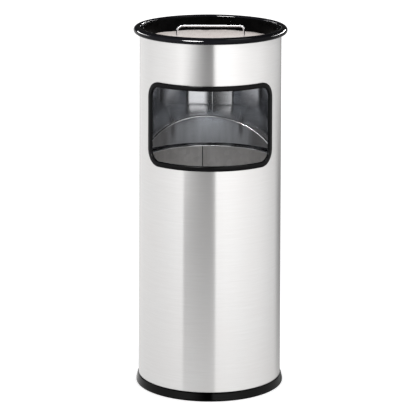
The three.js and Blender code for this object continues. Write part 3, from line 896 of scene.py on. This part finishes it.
GAP_RIGHT = (5.0, 9.0)
GAP_LEFT = (-19.5, -31.0)  # the gap widens downwards, and its left edge grows crisp
GAP_SOFT = (17.0, 3.0)
FLOOR_LIGHT = 0.66
CEILING_LIGHT = 0.05
PEAK = 1.8  # a ramp's colours stop at 1, so they hold brightness over this
MATT_LIGHT, BACKDROP = 0.8, 1.2  # the even light on matt things, and what the camera sees


def panels(tree, turn, table):
    """The brightness that a table gives, by the turn in degrees."""
    ramp = node(tree, "ShaderNodeValToRGB", {0: ranged(tree, turn, -180.0, 180.0, 0.0, 1.0)})
    stops = ramp.color_ramp.elements
    while len(stops) < len(table):
        stops.new(0.5)
    for stop, (degrees, level) in zip(stops, table):
        stop.position = (degrees + 180) / 360
        stop.color = (level / PEAK, level / PEAK, level / PEAK, 1.0)
    return maths(tree, "MULTIPLY", ramp.outputs[0], PEAK)


def mixed_value(tree, factor, a, b):
    return node(tree, "ShaderNodeMix", {0: factor, 2: a, 3: b}, data_type="FLOAT").outputs[0]


def in_gap(tree, turn, height):
    """1 inside the dark gap and 0 outside it."""
    edge = maths(tree, "ADD", ranged(tree, height, -10.2, -11.0, *GAP_LEFT),
                 ranged(tree, height, -11.0, -13.0, 0.0, -12.0))
    soft = ranged(tree, height, -10.0, -11.0, *GAP_SOFT)
    past = maths(tree, "DIVIDE", maths(tree, "SUBTRACT", turn, edge), soft)
    left = ranged(tree, past, -1.0, 1.0, 0.0, 1.0, smooth=True)
    beyond = maths(tree, "SUBTRACT", turn, ranged(tree, height, -10.2, -11.5, *GAP_RIGHT))
    right = ranged(tree, beyond, -3.0, 3.0, 1.0, 0.0, smooth=True)
    return maths(tree, "MULTIPLY", left, right)


def gap_light(tree, height):
    foot = ranged(tree, height, -13.2, -19.0, 0.0, 1.0, smooth=True)
    lower = ranged(tree, height, -19.0, -24.0, GAP_FOOT, FLOOR_LIGHT)
    return mixed_value(tree, foot, GAP_LIGHT, lower)


def shiny_world(tree):
    """What the shiny pieces see: the panels, the gap, the floor, and dark above."""
    seen_along = node(tree, "ShaderNodeTexCoord").outputs["Generated"]
    parts = node(tree, "ShaderNodeSeparateXYZ", {0: seen_along})
    toward = maths(tree, "MULTIPLY", parts.outputs[1], -1.0)
    degree = 180 / math.pi
    turn = maths(tree, "MULTIPLY", maths(tree, "ARCTAN2", parts.outputs[0], toward), degree)
    height = maths(tree, "MULTIPLY", maths(tree, "ARCSINE", parts.outputs[2]), degree)
    lower = ranged(tree, height, *PANEL_STEP, 0.0, 1.0, smooth=True)
    level = mixed_value(tree, lower, panels(tree, turn, PANELS_HIGH), panels(tree, turn, PANELS_LOW))
    low = ranged(tree, height, -13.5, -22.0, 0.0, 1.0, smooth=True)
    level = mixed_value(tree, low, level, FLOOR_LIGHT)
    level = mixed_value(tree, in_gap(tree, turn, height), level, gap_light(tree, height))
    behind = ranged(tree, maths(tree, "ABSOLUTE", turn), 110.0, 140.0, 0.0, 1.0, smooth=True)
    above = ranged(tree, height, 1.0, 5.0, 0.0, 1.0, smooth=True)
    level = mixed_value(tree, maths(tree, "MULTIPLY", behind, above), level, 0.04)
    overhead = ranged(tree, height, 12.0, 40.0, 0.0, 1.0, smooth=True)
    return mixed_value(tree, overhead, level, CEILING_LIGHT)


def surroundings():
    """White to the camera, even light for matt things, and panels for shiny ones."""
    world = bpy.data.worlds.new("studio")
    bpy.context.scene.world = world
    world.use_nodes = True
    tree = world.node_tree
    tree.nodes.clear()
    path = node(tree, "ShaderNodeLightPath")
    even = ranged(tree, path.outputs["Is Camera Ray"], 0.0, 1.0, MATT_LIGHT, BACKDROP)
    level = mixed_value(tree, path.outputs["Is Glossy Ray"], even, shiny_world(tree))
    lamp = node(tree, "ShaderNodeBackground", {"Color": (1.0, 1.0, 1.0, 1.0), "Strength": level})
    node(tree, "ShaderNodeOutputWorld", {0: lamp.outputs[0]})


STRIP_AWAY = 2.4  # how far the lights stand from the bin, in metres


def keep_to(lamp, lit):
    """Lets a lamp light only these pieces."""
    kept = bpy.data.collections.new(lamp.name + "_lit")
    for thing in lit:
        kept.objects.link(thing)
    lamp.light_linking.receiver_collection = kept


def softbox(name, azimuth, elevation, width, height, power, lit, distance=STRIP_AWAY):
    """An area light aimed at the top of the bin, which reaches only the lit pieces.

    Angles are in degrees, sizes in metres and power in watts.
    """
    data = bpy.data.lights.new(name, "AREA")
    data.shape = "ELLIPSE"
    data.size, data.size_y, data.energy = width, height, power
    made = bpy.data.objects.new(name, data)
    bpy.context.scene.collection.objects.link(made)
    a, e = math.radians(azimuth), math.radians(elevation)
    away = Vector((math.sin(a) * math.cos(e), -math.cos(a) * math.cos(e), math.sin(e)))
    made.location = Vector((0, 0, SHELL_HIGH.z * 0.8)) + away * distance
    made.rotation_euler = away.to_track_quat("Z", "Y").to_euler()
    keep_to(made, lit)


def glow(lit):
    """Light that has bounced off the shell's back, down onto the near side of the bucket."""
    data = bpy.data.lights.new("glow", "AREA")
    data.shape = "DISK"
    data.size, data.energy = 0.14, 0.24
    data.color = (0.86, 0.93, 1.0)
    made = bpy.data.objects.new("glow", data)
    bpy.context.scene.collection.objects.link(made)
    made.location = (0.0, 0.03, CURL_HEIGHT + 0.05)
    made.rotation_euler = (math.radians(-70), 0.0, 0.0)
    made.visible_camera = False
    keep_to(made, lit)


def floor():
    """A plain white floor that takes a soft shadow. Shiny pieces see the panels instead."""
    size = 40.0
    mesh = bpy.data.meshes.new("floor")
    corners = [(-size, -size, 0), (size, -size, 0), (size, size, 0), (-size, size, 0)]
    mesh.from_pydata(corners, [], [(0, 1, 2, 3)])
    made = bpy.data.objects.new("floor", mesh)
    bpy.context.scene.collection.objects.link(made)
    paint, tree, shader = surface("floor_white", (0.96, 0.96, 0.96), 0.9)
    grain = noisy(tree, place_of(tree), 3.0)
    tint = blended(tree, grain, (0.955, 0.955, 0.955, 1.0), (0.965, 0.965, 0.965, 1.0))
    tree.links.new(tint, shader.inputs["Base Color"])
    shader.inputs["Specular IOR Level"].default_value = 0.0
    shader.inputs["Emission Color"].default_value = (1.0, 1.0, 1.0, 1.0)
    seen = node(tree, "ShaderNodeLightPath").outputs["Is Camera Ray"]
    tree.links.new(maths(tree, "MULTIPLY", seen, 0.50), shader.inputs["Emission Strength"])
    mesh.materials.append(paint)
    made.visible_glossy = False


def camera():
    """Stands at the photograph's place, with the lens shifted down to keep uprights upright."""
    data = bpy.data.cameras.new("camera")
    made = bpy.data.objects.new("camera", data)
    bpy.context.scene.collection.objects.link(made)
    distance, height = 3.9486, 1.2652
    pitch, roll, side = 0.044, 0.0038, math.radians(-0.05)
    made.location = (distance * math.sin(side), -distance * math.cos(side), height)
    aimed = Euler((math.pi / 2 - pitch, 0.0, side)).to_matrix()
    made.rotation_euler = (aimed @ Matrix.Rotation(roll, 3, "Z")).to_euler()
    data.sensor_width = 36.0
    data.lens = 197.853
    shift(made, "shift_x", -0.00853)
    shift(made, "shift_y", -1.08894)
    bpy.context.scene.camera = made


def shift(cam, name, amount):
    """Shifts the lens only while the camera is where this script puts it."""
    driver = cam.data.driver_add(name).driver
    driver.type = "SCRIPTED"
    place = driver.variables.new()
    place.name = "y"
    place.type = "TRANSFORMS"
    place.targets[0].id = cam
    place.targets[0].transform_type = "LOC_Y"
    driver.expression = f"{amount:.5f} if abs(y - {cam.location.y:.5f}) < 0.001 else 0.0"


# ---- the bin --------------------------------------------------------------------

shell_sheet()
shell_seam()
edging = aperture_edging()
ring = top_ring()
foot_ring()
base_plate()
ash_bowl()
sand_fill()
handle = ash_handle()
handle_fixings()
bail = bucket_bail()
bucket = [bucket_wall(), bucket_seam(), bucket_base()]
lap_shade_line()
rim_wire()
bucket_ears()
ear_rivets()

surroundings()
bin_pieces = [thing for thing in bpy.context.scene.objects if thing.type == "MESH"]
softbox("fill", 60, 55, 1.6, 1.6, 38, lit=bin_pieces, distance=3.0)
softbox("ring_strip", -26, 14, 1.3, 0.8, 1000, lit=[ring])
softbox("wire_strip", -25, 30, 0.9, 0.8, 100, lit=[handle, bail])
softbox("edging_strip", -25, 30, 0.9, 0.8, 60, lit=[edging])
softbox("rear_right_strip", 130, 16, 2.6, 0.14, 110, lit=[ring])
softbox("rear_left_strip", -122, 16, 1.8, 0.2, 60, lit=[ring])
softbox("bar_strip", 0, 60, 0.5, 1.2, 14, lit=[handle])
softbox("inside", -8, 32, 0.5, 0.4, 8, lit=bucket)
glow(bucket)
floor()
camera()
bpy.context.scene.view_settings.view_transform = "Standard"
